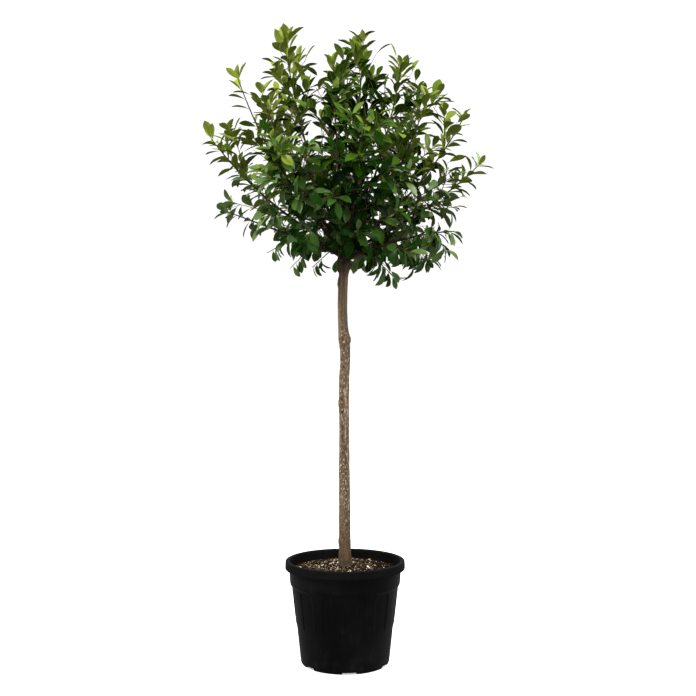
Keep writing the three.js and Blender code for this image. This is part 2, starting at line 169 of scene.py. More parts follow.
class Socket:
    """A socket of a finish. Arithmetic on it adds Math nodes, and node() any other node."""

    def __init__(self, tree, socket=None):
        self.tree = tree
        self.socket = socket

    def feed(self, target, value):
        """Links a socket to the target, or sets a plain value there."""
        if isinstance(value, Socket):
            self.tree.links.new(value.socket, target)
        else:
            target.default_value = value

    def node(self, kind, settings=None, output=0, inputs=None):
        """Adds a node: its settings first, then its inputs by name or number."""
        made = self.tree.nodes.new("ShaderNode" + kind)
        for key, value in (settings or {}).items():
            setattr(made, key, value)
        for key, value in (inputs or {}).items():
            self.feed(made.inputs[key], value)
        return Socket(self.tree, made.outputs[output])

    def math(self, operation, first, second):
        """Adds a Math node."""
        return self.node("Math", {"operation": operation}, 0, {0: first, 1: second})

    def __add__(self, other):
        return self.math("ADD", self, other)

    def __sub__(self, other):
        return self.math("SUBTRACT", self, other)

    def __rsub__(self, other):
        return self.math("SUBTRACT", other, self)

    def __mul__(self, other):
        return self.math("MULTIPLY", self, other)

    __radd__ = __add__
    __rmul__ = __mul__

    def step(self, low, high):
        """0 below low, 1 above high, smooth between them."""
        settings = {"interpolation_type": "SMOOTHSTEP"}
        return self.node("MapRange", settings, 0, {0: self, 1: low, 2: high})

    def blend(self, colour, other):
        """The first colour where this socket is 0, the other where it is 1."""
        return self.node("Mix", {"data_type": "RGBA"}, 2, {0: self, 6: colour, 7: other})

    def noise(self, scale, detail, stretch=(1, 1, 1)):
        """Cloudy noise over this vector socket, stretched along the axes."""
        place = self.node("Mapping", None, 0, {"Vector": self, "Scale": stretch})
        return self.node("TexNoise", None, 0, {"Vector": place, "Scale": scale, "Detail": detail})

    def bump(self, sockets, strength, distance):
        """Feeds this height to a shader's normal."""
        inputs = {"Strength": strength, "Distance": distance, "Height": self}
        self.feed(sockets["Normal"], self.node("Bump", None, 0, inputs))


def rgb(red, green, blue):
    """Linear colour from display values of 0 to 255."""
    share = np.array([red, green, blue]) / 255
    linear = np.where(share > 0.04045, ((share + 0.055) / 1.055) ** 2.4, share / 12.92)
    return (*linear.tolist(), 1.0)


def finish(name, colour, roughness, specular):
    """Finish with a plain colour; returns it and its shader's sockets."""
    made = bpy.data.materials.new(name)
    made.use_nodes = True
    sockets = made.node_tree.nodes["Principled BSDF"].inputs
    sockets["Base Color"].default_value = colour
    sockets["Roughness"].default_value = roughness
    sockets["Specular IOR Level"].default_value = specular
    return made, sockets


def pot_plastic():
    """Near black, a little greyer and rougher in clouds, upright scuffs and dust at the
    foot, dull on the lip, with a fine moulded grain."""
    made, sockets = finish("pot_plastic", rgb(6, 6, 6), 0.42, 0.075)
    place = Socket(made.node_tree).node("TexCoord", None, "Object")
    clouds = place.noise(7, 5).step(0.4, 0.75)
    scuffs = place.noise(16, 6, (6, 6, 0.35)).step(0.58, 0.8)
    height = place.node("SeparateXYZ", None, "Z", {0: place})
    dust = (1 - height.step(0.005, 0.09)) * place.noise(40, 8).step(0.45, 0.7)
    worn = 0.35 * clouds + 0.5 * scuffs + 0.5 * dust
    worn.feed(sockets["Base Color"], worn.blend(rgb(4, 4, 5), rgb(25, 25, 25)))
    lip = height.step(0.278, 0.284)
    worn.feed(sockets["Roughness"], 0.44 + 0.08 * clouds + 0.14 * scuffs + 0.35 * lip)
    grain = place.noise(700, 3) + 2 * place.noise(30, 2)
    grain.bump(sockets, 0.12, 0.0006)
    return made


def pot_surface():
    """Radius and height of the eased profile, turned round the upright axis. Outside the
    panels the wall is lifted to the larger of its own radius and the tapered wall plus the
    panels' depth; a panel's half angle shrinks to nothing over its arch, as a circle's
    does. The notches lift the underside where it lies outside their inner radius."""
    lip, neck, top = pot_lip_radius, pot_neck_radius, pot_height
    underside = [(r, 0.0) for r in (0.03, 0.07, 0.1, notch_inner_radius - 0.0003, notch_inner_radius)]
    shell = [
        (notch_inner_radius + 0.002, 0.0),
        (pot_foot_radius - 0.4 * pot_foot_corner, 0.0),
        (pot_foot_radius, 0.6 * pot_foot_corner),
        (pot_wall_top_radius, pot_shoulder),
        (pot_collar_radius, pot_shoulder + pot_collar_rise),
        (neck, pot_lip_foot + 0.006),
        (neck, top - 2 * pot_wall),
        (lip - pot_wall, top - 2 * pot_wall),
        (lip - 0.7 * pot_wall, pot_lip_foot),
        (lip, pot_lip_foot),
        (lip - 0.001, top),
        (neck - pot_wall, top - 0.001),
        (neck - pot_wall, pot_lip_foot),
        (pot_collar_radius - pot_wall, pot_shoulder + pot_collar_rise),
        (pot_wall_top_radius - pot_wall, pot_shoulder),
        (pot_foot_radius - pot_wall, 0.014),
        (pot_foot_radius - pot_foot_corner - pot_wall, pot_floor),
        (0.02, pot_floor),
    ]
    profile = np.concatenate([underside, spaced(eased(shell, pot_ease, 5), pot_step)])
    radius, height = profile[:, :1], profile[:, 1:]
    inner = np.arange(len(profile))[:, None] > np.argmax(height > pot_lip_foot - 0.02)

    side = np.degrees(panel_half_angle) + np.array([-4, -2.6, -1.5, -0.8, -0.3, 0.3, 0.8, 1.5])
    sides = panel_bearing + np.radians(np.concatenate([-side, side]))
    ends = notch_bearing + np.array([-1.02, -0.98, 0.98, 1.02]) * notch_half_angle
    close = np.add.outer(panel_spacing * np.arange(panel_count), sides).ravel()
    close = np.append(close, np.add.outer(notch_spacing * np.arange(notch_count), ends)) % (2 * np.pi)
    bearing = np.unique(np.append(close, all_round(180)).round(4))

    arch = np.clip((height - (panel_top - panel_arch)) / panel_arch, 0, 1)
    half = panel_half_angle * np.sqrt(1 - arch**2)
    off = from_nearest(bearing, panel_bearing, panel_spacing)
    rib = smoothstep(half - 0.012, half + 0.008, off)
    slope = (pot_wall_top_radius - pot_foot_radius) / (pot_shoulder - pot_foot_corner)
    wall = pot_foot_radius + slope * (height - pot_foot_corner)
    raised = wall + panel_depth * rib * smoothstep(panel_foot, panel_foot + 0.018, height)
    on_wall = ~inner & (height > 0.1) & (height < panel_top + 0.004)
    notch = from_nearest(bearing, notch_bearing, notch_spacing) < notch_half_angle
    lifted = ~inner & (radius > notch_inner_radius - 0.0001) & (height < notch_height) & notch

    radius = np.where(on_wall, np.maximum(radius, raised), radius)
    height = np.where(lifted, notch_height, height + 0 * bearing)
    rings = polar(radius, bearing, height)
    ends = [[0, 0, 0], [0, 0, pot_floor]]
    return np.concatenate([rings.reshape(-1, 3), ends]), turned_faces(*rings.shape[:2])


piece("pot_shell", *pot_surface(), [pot_plastic()], "pot_plastic", ["pot"], sharp=40)


# Potting bark: composted bark and wood chips over moist dark peat, poured in to just
# under the rim and heaped a little round the stem, mossy on one side, and darker on the
# right-hand side with painted shade.

soil_edge_radius = 0.1652
soil_edge = 0.277
soil_crown = 0.285
soil_top = 0.290
soil_underside = 0.25
soil_rings, soil_sides = 46, 120
soil_waves = 30
soil_roughness = 0.00045
chip_count = 14000
chip_inner_radius, chip_outer_radius = 0.021, 0.158
chip_shares = [0.52, 0.26, 0.09, 0.06, 0.07]
moss_bearing, moss_half_angle, moss_inner_radius = np.radians(215), 0.6, 0.07
moss_share = 0.3
# Painted shade on the right-hand side of the soil: from where it starts, and its share.
painted_shade_from = 0.085
painted_shade_share = 0.65
dice = np.random.default_rng(41)


def soil_height(radius):
    """Level against the stem, then falling from it ever more gently to the edge."""
    stops = [0, 0.02, 0.03, 0.05, 0.085, soil_edge_radius]
    return np.interp(radius, stops, [soil_top, soil_top, 0.287, soil_crown, 0.282, soil_edge])


def soil_surface():
    """Heaped disc: rings of growing radius at the soil's height, roughened by waves, and
    then a wall down to a flat underside inside the pot."""
    bearing = all_round(soil_sides)
    radius = np.linspace(0.004, soil_edge_radius, soil_rings)[:, None]
    x, y = radius * np.cos(bearing), radius * np.sin(bearing)
    waves = dice.normal(0, 1, (soil_waves, 2)) * np.geomspace(40, 900, soil_waves)[:, None]
    phase = dice.uniform(0, 2 * np.pi, soil_waves)
    rough = np.sin(x[..., None] * waves[:, 0] + y[..., None] * waves[:, 1] + phase).sum(axis=-1)
    tops = polar(radius, bearing, soil_height(radius) + soil_roughness * rough * (radius < 0.16))
    below = polar(soil_edge_radius, bearing, soil_underside)[None]
    rings = np.concatenate([tops, below])[::-1]
    ends = [[0, 0, soil_underside], [0, 0, soil_top]]
    return np.concatenate([rings.reshape(-1, 3), ends]), turned_faces(*rings.shape[:2])


def peat():
    """Moist dark brown crumbs, lighter on their tops."""
    made, sockets = finish("peat", rgb(44, 34, 24), 0.95, 0.04)
    place = Socket(made.node_tree).node("TexCoord", None, "Object")
    crumbs = place.noise(260, 6).step(0.35, 0.7)
    crumbs.feed(sockets["Base Color"], crumbs.blend(rgb(10, 7, 4), rgb(46, 33, 21)))
    crumbs.bump(sockets, 0.9, 0.003)
    return made


def unit(vector):
    """The vector divided by its length."""
    return vector / np.linalg.norm(vector, axis=-1, keepdims=True)


def chips():
    """Flat slivers: the eight corners of a block, each moved at random, tilted a little and
    scattered evenly over the soil. Also returns the tint of every face: tints go by share,
    but some chips are mossy on one side of the pot, and most on the right-hand side take
    the dark tint as painted shade."""
    base = ((-1, -1), (1, -1), (1, 1), (-1, 1))
    corners = np.array([[x, y, z] for z in (-1, 1) for x, y in base], float)
    span = dice.gamma(2.4, 0.00055, chip_count).clip(0.0008, 0.0070)
    width = span * dice.uniform(0.28, 0.65, chip_count)
    thickness = span * dice.uniform(0.1, 0.26, chip_count)
    half = np.stack([span, width, thickness], axis=1)
    local = corners * (1 + dice.uniform(-0.32, 0.2, (chip_count, 8, 3))) * half[:, None]
    turn = dice.uniform(0, 2 * np.pi, chip_count)
    tilt = dice.normal(0, 0.4, (chip_count, 2))
    long_way = unit(polar(1, turn, tilt[:, 0]))
    across = unit(np.cross(np.stack([tilt[:, 1], 0 * turn, 1 + 0 * turn], axis=1), long_way))
    upward = np.cross(long_way, across)
    radius = np.sqrt(dice.uniform(chip_inner_radius**2, chip_outer_radius**2, chip_count))
    bearing = dice.uniform(0, 2 * np.pi, chip_count)
    height = soil_height(radius) + dice.uniform(-0.0012, 0.0030, chip_count)
    middle = polar(radius, bearing, height)
    axes = np.stack([long_way, across, upward], axis=1)
    points = middle[:, None] + local @ axes
    block = [[0, 3, 2, 1], [4, 5, 6, 7], [0, 1, 5, 4], [1, 2, 6, 5], [2, 3, 7, 6], [3, 0, 4, 7]]
    quads = len(corners) * np.arange(chip_count)[:, None, None] + np.array(block)
    dark, mossy = 0, len(chip_shares)
    tint = dice.choice(len(chip_shares), chip_count, p=chip_shares)
    by_moss = (np.abs(bearing - moss_bearing) < moss_half_angle) & (radius > moss_inner_radius)
    tint = np.where(by_moss & (dice.random(chip_count) < moss_share), mossy, tint)
    # Painted shade: most chips on the right-hand side take the dark tint.
    in_painted_shade = middle[:, 0] > painted_shade_from
    tint = np.where(in_painted_shade & (dice.random(chip_count) < painted_shade_share), dark, tint)
    return points.reshape(-1, 3), [quads.reshape(-1, 4)], np.repeat(tint, len(block))


chip_colours = {
    "chip_dark": (30, 20, 10),
    "chip_brown": (68, 50, 28),
    "chip_tan": (114, 92, 60),
    "chip_pale": (176, 156, 122),
    "chip_weathered": (232, 222, 204),
    "chip_mossy": (74, 82, 26),
}
piece("soil", *soil_surface(), [peat()], "potting_bark", ["potting_bark"])
chip_finishes = [finish(name, rgb(*colour), 0.88, 0.04)[0] for name, colour in chip_colours.items()]
chip_points, chip_faces, chip_tints = chips()
piece("bark_chips", chip_points, chip_faces, chip_finishes, "potting_bark", ["potting_bark"],
      chip_tints, sharp=30)


# Trunk: one clear woody stem, trained straight with a slight bow and two kinks, flared
# where it leaves the soil. Its thin grey-brown bark has fine upright cracks, corky pores,
# healed cuts and pale strips of worn bark with a painted highlight on them, and swells to
# a rough, mossy graft knuckle below the fork.

trunk_foot = 0.2863
trunk_top = 1.290
trunk_root = 0.006
trunk_foot_radius, trunk_top_radius = 0.018, 0.0134
flare_depth, flare_height = 0.005, 0.020
trunk_bow = 0.0027
knuckle_foot, knuckle_top, head_top = 1.130, 1.276, 1.288
trunk_sides = 72
stem_step, knuckle_step = 0.0032, 0.0022
pore_count = 260
pore_half_width, pore_half_height = 0.0032, 0.0011
dice = np.random.default_rng(23)
swellings = [
    (0.670, -0.0008, 0.080),
    (0.940, 0.0007, 0.110),
    (0.970, 0.0015, 0.020),
    (1.190, 0.0085, 0.017),
    (1.245, 0.0050, 0.034),
]
kinks = [(0.934, 0.0077, 0.076), (1.023, -0.0071, 0.160)]
knots = [(0.970, -20, 0.008), (1.141, 190, 0.009), (0.778, 170, 0.006), (0.363, 185, 0.007)]
eyes = [(0.751, -112, 0.0042), (0.886, -100, 0.0030), (0.790, -118, 0.0030), (0.640, -70, 0.0026)]
# Pale strips on the stem's front, worn bark with a painted highlight: height, bearing, half width and half
# length.
worn_and_highlight_strips = [(0.800, -74, 0.0030, 0.030), (0.955, -27, 0.0035, 0.010), (0.700, -76, 0.0026, 0.050)]


def bells(z, rows):
    """Sum of bell curves, each given by its height, its size and its half width."""
    return sum(size * np.exp(-(((z - middle) / half) ** 2)) for middle, size, half in rows)


def trunk_radius(z):
    """Straight taper, a flare that dies away above the soil, and the swellings."""
    share = (z - trunk_foot) / (trunk_top - trunk_foot)
    flare = flare_depth * np.exp(-(z - trunk_foot) / flare_height)
    taper = trunk_foot_radius + (trunk_top_radius - trunk_foot_radius) * share
    return taper + flare + bells(z, swellings)


def trunk_axis(z):
    """Sideways place of the stem's middle: half a sine wave to the left, and the kinks."""
    share = (z - trunk_foot) / (trunk_top - trunk_foot)
    return -trunk_bow * np.sin(np.pi * share) + bells(z, kinks)


def waves_round(z, turn, count, rings, lengths):
    """Sum of sine waves that close round the stem, each with a whole number of crests in
    `rings` and a wavelength along the stem in `lengths`, at random phases."""
    crests = dice.integers(*rings, count) * dice.choice([-1, 1], count)
    pitch = 2 * np.pi / dice.uniform(*lengths, count)
    phase = dice.uniform(0, 2 * np.pi, count)
    waves = np.sin(turn[..., None] * crests + z[..., None] * pitch + phase)
    return waves.sum(axis=-1) / np.sqrt(count)


def turned_from(turn, bearing):
    """Angle from a bearing, between half a turn back and half a turn on."""
    return (turn - bearing + np.pi) % (2 * np.pi) - np.pi


def trunk_surface():
    """Rings of the stem's radius round its bent axis, with lumps, upright cracks, knots as
    domes with a sunk middle, and pores as small level swellings. Also returns a mark for
    each point: above 0 in pores, knots and eyes, below 0 in the pale strips of worn bark
    and painted highlight."""
    stem_z = np.arange(trunk_foot - trunk_root, knuckle_foot, stem_step)
    z = np.concatenate([stem_z, np.arange(knuckle_foot, knuckle_top, knuckle_step)])
    z, turn = np.meshgrid(z, all_round(trunk_sides), indexing="ij")
    rough = smoothstep(1.150, 1.185, z)
    lumps = waves_round(z, turn, 14, (1, 5), (0.05, 0.2))
    fissures = np.abs(waves_round(z, turn, 12, (9, 22), (0.05, 0.3)))
    knuckle = np.abs(waves_round(z, turn, 16, (2, 9), (0.012, 0.05)))
    radius = trunk_radius(z)
    cracks = np.exp(-((fissures / 0.22) ** 2))
    relief = 0.00042 * lumps - 0.00034 * cracks + 0.0021 * rough * (knuckle - 0.8)

    pore_z = dice.uniform(0.30, 1.16, pore_count)
    pore_turn = dice.uniform(0, 2 * np.pi, pore_count)
    pore_size = dice.uniform(0.5, 1.25, pore_count)
    around = turned_from(turn[..., None], pore_turn)
    reach = (around * radius[..., None] / pore_half_width) ** 2
    reach = reach + ((z[..., None] - pore_z) / pore_half_height) ** 2
    pores = (pore_size * np.exp(-reach / pore_size**2)).sum(axis=-1)
    marks = 0.8 * pores
    for knot_z, bearing, size in knots:
        off = turned_from(turn, np.radians(bearing))
        distance = np.sqrt((off * radius) ** 2 + ((z - knot_z) / 1.3) ** 2) / size
        dome, hollow = np.exp(-(distance**2)), np.exp(-((distance / 0.42) ** 2))
        relief += size * (0.62 * dome - 0.42 * hollow)
        marks += 1.2 * np.exp(-((distance / 0.6) ** 2))
    for eye_z, bearing, size in eyes:
        off = turned_from(turn, np.radians(bearing))
        marks += 1.6 * np.exp(-((off * radius / size) ** 2) - ((z - eye_z) / size) ** 2)
    # Pale strips on the front of the stem: worn bark, and a painted highlight.
    for strip_z, bearing, half_width, half_length in worn_and_highlight_strips:
        off = turned_from(turn, np.radians(bearing))
        reach = (off * radius / half_width) ** 2 + ((z - strip_z) / half_length) ** 2
        marks -= 0.8 * np.exp(-reach)
    radius = radius + relief + 0.0005 * pores
    rings = np.stack([trunk_axis(z) + radius * np.cos(turn), radius * np.sin(turn), z], axis=-1)
    ends = [[trunk_axis(trunk_foot), 0, trunk_foot - trunk_root], [trunk_axis(1.28), 0, head_top]]
    points = np.concatenate([rings.reshape(-1, 3), ends])
    return points, turned_faces(*rings.shape[:2]), np.append(marks, [0, 0])


def stem_bark():
    """Grey-brown bark: upright bands of a darker and a paler brown under fine grain, pits and
    pale flakes, which die away up the stem; browner and soiled at the foot, dark in the
    marks and pale in the strips of worn bark and painted highlight, with a green-brown,
    mossy skin over the knuckle."""
    made, sockets = finish("stem_bark", rgb(120, 103, 85), 0.82, 0.3)
    place = Socket(made.node_tree).node("TexCoord", None, "Object")
    mark = place.node("Attribute", {"attribute_name": "mark"}, "Fac")
    bands = place.noise(70, 3, (1, 1, 0.06)).step(0.36, 0.64)
    grain = place.noise(330, 2, (1, 1, 0.5)).step(0.4, 0.6)
    patches = place.noise(18, 3, (1, 1, 0.35)).step(0.42, 0.62)
    pits = place.noise(250, 2, (1, 1, 0.6)).step(0.58, 0.66)
    flakes = place.noise(290, 2, (1, 1, 0.4)).step(0.56, 0.66)
    height = place.node("SeparateXYZ", None, "Z", {0: place})
    mossy = height.step(1.14, 1.19) * (0.55 + 0.45 * place.noise(70, 4).step(0.4, 0.62))
    soiled = (1 - height.step(0.29, 0.34)) * (0.3 + 0.7 * place.noise(120, 5).step(0.4, 0.6))
    coarse = (1 - 0.75 * height.step(0.98, 1.06)) * (0.5 + 0.5 * patches)
    brown = bands.blend(rgb(80, 64, 46), rgb(137, 115, 90))
    brown = (0.9 * coarse * (1 - grain)).blend(brown, rgb(54, 40, 27))
    brown = (0.3 * patches).blend(brown, rgb(102, 78, 54))
    brown = (0.55 * (1 - height.step(0.37, 0.56))).blend(brown, rgb(80, 60, 36))
    brown = (0.8 * pits * coarse).blend(brown, rgb(44, 32, 22))
    brown = (0.8 * flakes * coarse * height.step(0.3, 0.5)).blend(brown, rgb(214, 194, 166))
    brown = (0.9 * mossy).blend(brown, rgb(44, 40, 24))
    brown = (0.85 * soiled).blend(brown, rgb(52, 38, 24))
    brown = mark.step(0.25, 0.95).blend(brown, rgb(42, 31, 22))
    # Pale where the mark is below 0: the strips of worn bark and painted highlight.
    brown = (0.8 * (0 - mark).step(0.2, 0.9)).blend(brown, rgb(186, 165, 140))
    mossy.feed(sockets["Base Color"], brown)
    relief = grain + bands + flakes - pits
    relief.bump(sockets, 0.6, 0.0012)
    return made


trunk_points, trunk_faces, trunk_marks = trunk_surface()
trunk_bark = stem_bark()
trunk = piece("trunk_wood", trunk_points, trunk_faces, [trunk_bark], "bark", ["trunk"])
mark_values = trunk.data.attributes.new("mark", "FLOAT", "POINT").data
mark_values.foreach_set("value", trunk_marks.astype(np.float32))


# Boughs: the crown's limbs. Each leaves the knuckle at the fork, arches out and thins to
# the tip of a leafy shoot; its first part is old wood with smooth brown bark, swollen a
# little where leaves once stood.

# Columns: bearing in degrees, reach, height of the tip, painted light and fullness. The
# painted light sets how light or dark a tint each shoot's leaves are dealt, for the light
# and shade that falls on the shoot.
shoots = {
    "left_leader": (172, 0.186, 1.872, 1.5, 1.0),
    "centre_leader": (20, 0.058, 1.868, 0.7, 1.0),
    "right_leader": (-22, 0.178, 1.768, 0.8, 0.7),
    "back_leader": (88, 0.190, 1.810, 0.1, 0.6),
    "front_leader": (-100, 0.190, 1.745, 0.6, 0.8),
    "right_upper": (22, 0.262, 1.728, 0.7, 0.3),
    "left_upper": (176, 0.325, 1.758, 1.8, 0.3),
    "left_front_upper": (214, 0.285, 1.668, 2.1, 0.1),
    "right_front_upper": (-42, 0.310, 1.640, 2.0, 0.7),
    "back_left_upper": (132, 0.315, 1.680, 2.5, 0.7),
    "back_right_upper": (58, 0.320, 1.650, 2.0, 0.3),
    "right_middle": (-8, 0.352, 1.620, 2.2, 0.4),
    "right_far": (5, 0.405, 1.496, 2.7, 0.7),
    "left_far": (181, 0.402, 1.572, 2.7, 0.6),
    "front_middle": (-82, 0.370, 1.530, 0.7, 1.0),
    "front_left_middle": (238, 0.365, 1.468, 1.0, 0.9),
    "back_middle": (100, 0.375, 1.540, 0.7, 0.6),
    "right_low": (-14, 0.330, 1.285, 1.3, 0.8),
    "left_low": (178, 0.350, 1.352, 2.6, 0.3),
    "front_right_low": (-50, 0.275, 1.212, 1.1, 0.1),
    "front_left_low": (226, 0.240, 1.252, 0.7, 0.1),
    "back_left_low": (128, 0.330, 1.345, 2.0, 0.2),
    "back_right_low": (52, 0.345, 1.335, 2.5, 0.5),
}
shoot_bearing, shoot_reach, shoot_tip, shoot_painted_light, shoot_fullness = np.array(list(shoots.values())).T
shoot_bearing = np.radians(shoot_bearing)
shoot_count = len(shoots)
bare_share = 0.3
old_wood_share = 0.46
fork_height, fork_spread = 1.200, 0.072
bend_out, bend_up, limb_arch = 0.62, 0.29, 0.062
taper_power = 0.7
limb_foot_radius, limb_tip_radius = 0.0062, 0.0015
bough_points, bough_sides = 40, 9

steepness = np.clip(np.arctan2(shoot_tip - fork_height, shoot_reach) / (np.pi / 2), 0, 1)
limb_foot_z = fork_height + fork_spread * steepness
limb_foot = np.stack([trunk_axis(limb_foot_z), 0 * limb_foot_z, limb_foot_z], axis=1)[:, None]
limb_tip = polar(shoot_reach, shoot_bearing, shoot_tip)[:, None]
limb_bend = limb_foot + bend_out * (limb_tip - limb_foot)
limb_bend[:, 0, 2] = limb_foot_z + bend_up * (shoot_tip - limb_foot_z) + limb_arch * (1 - steepness)


def limb_at(t):
    """Points of every limb at the shares t (limb, point): a parabola from foot to tip."""
    t = t[..., None]
    return (1 - t) ** 2 * limb_foot + 2 * t * (1 - t) * limb_bend + t**2 * limb_tip


def limb_along(t):
    """Directions of every limb at the shares t."""
    t = t[..., None]
    return unit((1 - t) * (limb_bend - limb_foot) + t * (limb_tip - limb_bend))


def limb_radius(t):
    """From the foot's radius to the tip's by a power of the way along."""
    return limb_foot_radius + (limb_tip_radius - limb_foot_radius) * t**taper_power


def level_across(way):
    """Level unit vector square to a direction, or the x axis where that is upright."""
    level = np.stack([way[..., 1], -way[..., 0], 0 * way[..., 0]], axis=-1)
    return unit(np.where(np.linalg.norm(level, axis=-1, keepdims=True) < 1e-3, [1.0, 0, 0], level))


def rods(paths, radii, sides):
    """Closed round rods: at each point of a path stands a ring square to the path, turned
    from the level across the rod's chord. Paths are (rod, point, 3) and radii broadcast
    to (rod, point, side)."""
    along = unit(np.gradient(paths, axis=1))
    across = level_across(unit(paths[:, -1:] - paths[:, :1]))
    side = unit(across - along * (across * along).sum(axis=-1, keepdims=True))
    other = np.cross(along, side)
    turn = all_round(sides)[:, None]
    round_way = side[:, :, None] * np.cos(turn) + other[:, :, None] * np.sin(turn)
    rings = paths[:, :, None] + np.broadcast_to(radii, (*paths.shape[:2], sides))[..., None] * round_way
    count, rows = paths.shape[:2]
    points = np.concatenate([rings.reshape(count, -1, 3), paths[:, :1], paths[:, -1:]], axis=1)
    offsets = points.shape[1] * np.arange(count)[:, None, None]
    faces = [(offsets + group).reshape(-1, group.shape[1]) for group in turned_faces(rows, sides)]
    return points.reshape(-1, 3), faces


def bough_wood():
    """Smooth brown bark, mottled darker and paler."""
    made, sockets = finish("bough_bark", rgb(52, 39, 27), 0.65, 0.2)
    place = Socket(made.node_tree).node("TexCoord", None, "Object")
    mottle = place.noise(160, 5).step(0.35, 0.68)
    mottle.feed(sockets["Base Color"], mottle.blend(rgb(34, 25, 17), rgb(70, 53, 37)))
    mottle.bump(sockets, 0.35, 0.0006)
    return made


def swollen(t, turn_count, amount):
    """Factor on a rod's radius: 1 plus the sixth power of a sine wave's crests."""
    return 1 + amount * np.maximum(0, np.sin(2 * np.pi * turn_count * t)) ** 6


bough_t = np.tile(np.linspace(0.0, old_wood_share, bough_points), (shoot_count, 1))
bough_radii = (limb_radius(bough_t) * swollen(bough_t, 18, 0.16))[..., None]
bough_radii = bough_radii * (1 + dice.normal(0, 0.035, (shoot_count, bough_points, bough_sides)))
bough_nodes = ["bough_" + name for name in shoots]
piece("boughs", *rods(limb_at(bough_t), bough_radii, bough_sides), [bough_wood()], "bark", bough_nodes)


# Leafy shoots: young wood that carries on from each bough, with twigs round it by the
# golden angle, shorter towards its tip, and twiglets round each twig the same way. A few
# loose sprays hang under the crown. Bark is brown on stems, olive on twigs, then green.

dice = np.random.default_rng(9742)
golden_turn = np.radians(137.5)
upward = np.array([0, 0, 1.0])
# Columns: height, reach on the left and reach on the right.
crown_outline = np.array([
    (1.112, 0.090, 0.170),
    (1.150, 0.200, 0.215),
    (1.210, 0.270, 0.350),
    (1.330, 0.390, 0.365),
    (1.530, 0.445, 0.462),
    (1.610, 0.435, 0.385),
    (1.690, 0.350, 0.345),
    (1.780, 0.390, 0.285),
    (1.850, 0.260, 0.160),
    (1.928, 0.235, 0.115),
])
spur_places = np.array([0.11, 0.17, 0.24])
twig_places = np.linspace(0.0, 0.86, 9)
twigs_per_shoot = len(spur_places) + len(twig_places)
twiglets_per_twig = 2
twiglet_lean = np.radians(46)
branch_fits = (0.6, 0.78, 1.0)
branch_margin = 0.045
crown_flatness = 1.04
# Columns: shoot, share along it, bearing in degrees, dip and length.
loose_sprays = [
    ("front_left_low", 0.85, 165, -0.50, 0.090),
    ("front_left_low", 0.45, 200, -1.00, 0.110),
    ("front_left_low", 0.20, 215, -0.80, 0.085),
]

# The first turn of each shoot is the first draw of its seeded rule in the part's source.
state = (41 + 17 * np.arange(shoot_count)) * 1664525 + 1013904223
phase = 2 * np.pi * (state % 2**32) / 2**32
shoot_rise = np.clip(limb_along(np.full((shoot_count, 1), 0.8))[:, 0, 2], 0, 1)
twig_lift = -0.16 + 0.38 * shoot_rise
twig_curl = -0.16 + 0.30 * shoot_rise
twig_lean = np.radians(np.interp(shoot_rise, [0.3, 0.9], [52, 38]))[:, None, None]
leaf_droop = np.interp(shoot_rise, [0, 0.15, 0.35, 0.6, 0.85], [1.9, 1.6, 1.0, 0.35, 0.0])
leaf_spread = np.interp(shoot_rise, [0.2, 0.75, 0.97], [1.05, 0.8, 0.58])


def sideways(along, turn):
    """Unit vector square to a direction: the level one, turned round the direction."""
    level = level_across(along)
    turn = np.asarray(turn)[..., None]
    return level * np.cos(turn) + np.cross(level, along) * np.sin(turn)


def in_crown(points, margin):
    """True for points inside the crown's outline, less a margin: its reach at that height
    goes over from the left outline to the right one with the cosine of the bearing."""
    x, y, z = np.moveaxis(points, -1, 0)
    out = np.hypot(x, crown_flatness * y)
    left, right = (np.interp(z, crown_outline[:, 0], crown_outline[:, side]) for side in (1, 2))
    rightness = 0.5 + 0.5 * x / np.maximum(out, 1e-6)
    low, high = crown_outline[[0, -1], 0]
    return (out < left + (right - left) * rightness - margin) & (z > low) & (z < high - margin)


def branch_off(foot, along, turn, lean, lift, length, curl):
    """Side branches: they lean off their carrier, turned round it and lifted, and curl up
    or down by the square of the way along. Each keeps the longest of its fits whose tip
    stays in the crown. Returns foot, heading, length and curl; length 0 where none fits."""
    heading = along * np.cos(lean) + sideways(along, turn) * np.sin(lean) + upward * lift[..., None]
    heading = unit(heading)
    kept = np.zeros_like(length)
    for fit in branch_fits:
        tip = foot + (fit * length)[..., None] * (heading + upward * curl[..., None])
        kept = np.where(in_crown(tip, branch_margin), fit * length, kept)
    return foot, heading, kept, np.broadcast_to(curl, kept.shape)


def branch_at(branch, s):
    """Points of side branches at the share s of their length."""
    foot, heading, length, curl = branch
    return foot + (length * s)[..., None] * heading + (length * curl * s**2)[..., None] * upward


def branch_along(branch, s):
    """Directions of side branches at the share s."""
    return unit(branch[1] + (2 * branch[3] * s)[..., None] * upward)


def carriers(branches):
    """Side branches with one more axis, for what grows along each of them."""
    foot, heading, length, curl = branches
    return foot[..., None, :], heading[..., None, :], length[..., None], curl[..., None]


shoot_shape = (shoot_count, twigs_per_shoot)
on_spur = np.arange(twigs_per_shoot) < len(spur_places)
twig_t = np.concatenate([spur_places, bare_share + (1 - bare_share) * twig_places])
twig_t = (twig_t + dice.uniform(-0.02, 0.02, shoot_shape)).clip(0.09, 0.95)
twig_turn = phase[:, None] + golden_turn * np.arange(twigs_per_shoot)
twig_length = np.where(on_spur, 0.105, 0.235 - 0.185 * twig_t) * dice.uniform(0.78, 1.16, shoot_shape)
twig_length *= dice.random(shoot_shape) < np.maximum(shoot_fullness[:, None], 0.6 * on_spur)
twigs = branch_off(
    limb_at(twig_t), limb_along(twig_t), twig_turn, twig_lean,
    twig_lift[:, None], twig_length, twig_curl[:, None],
)

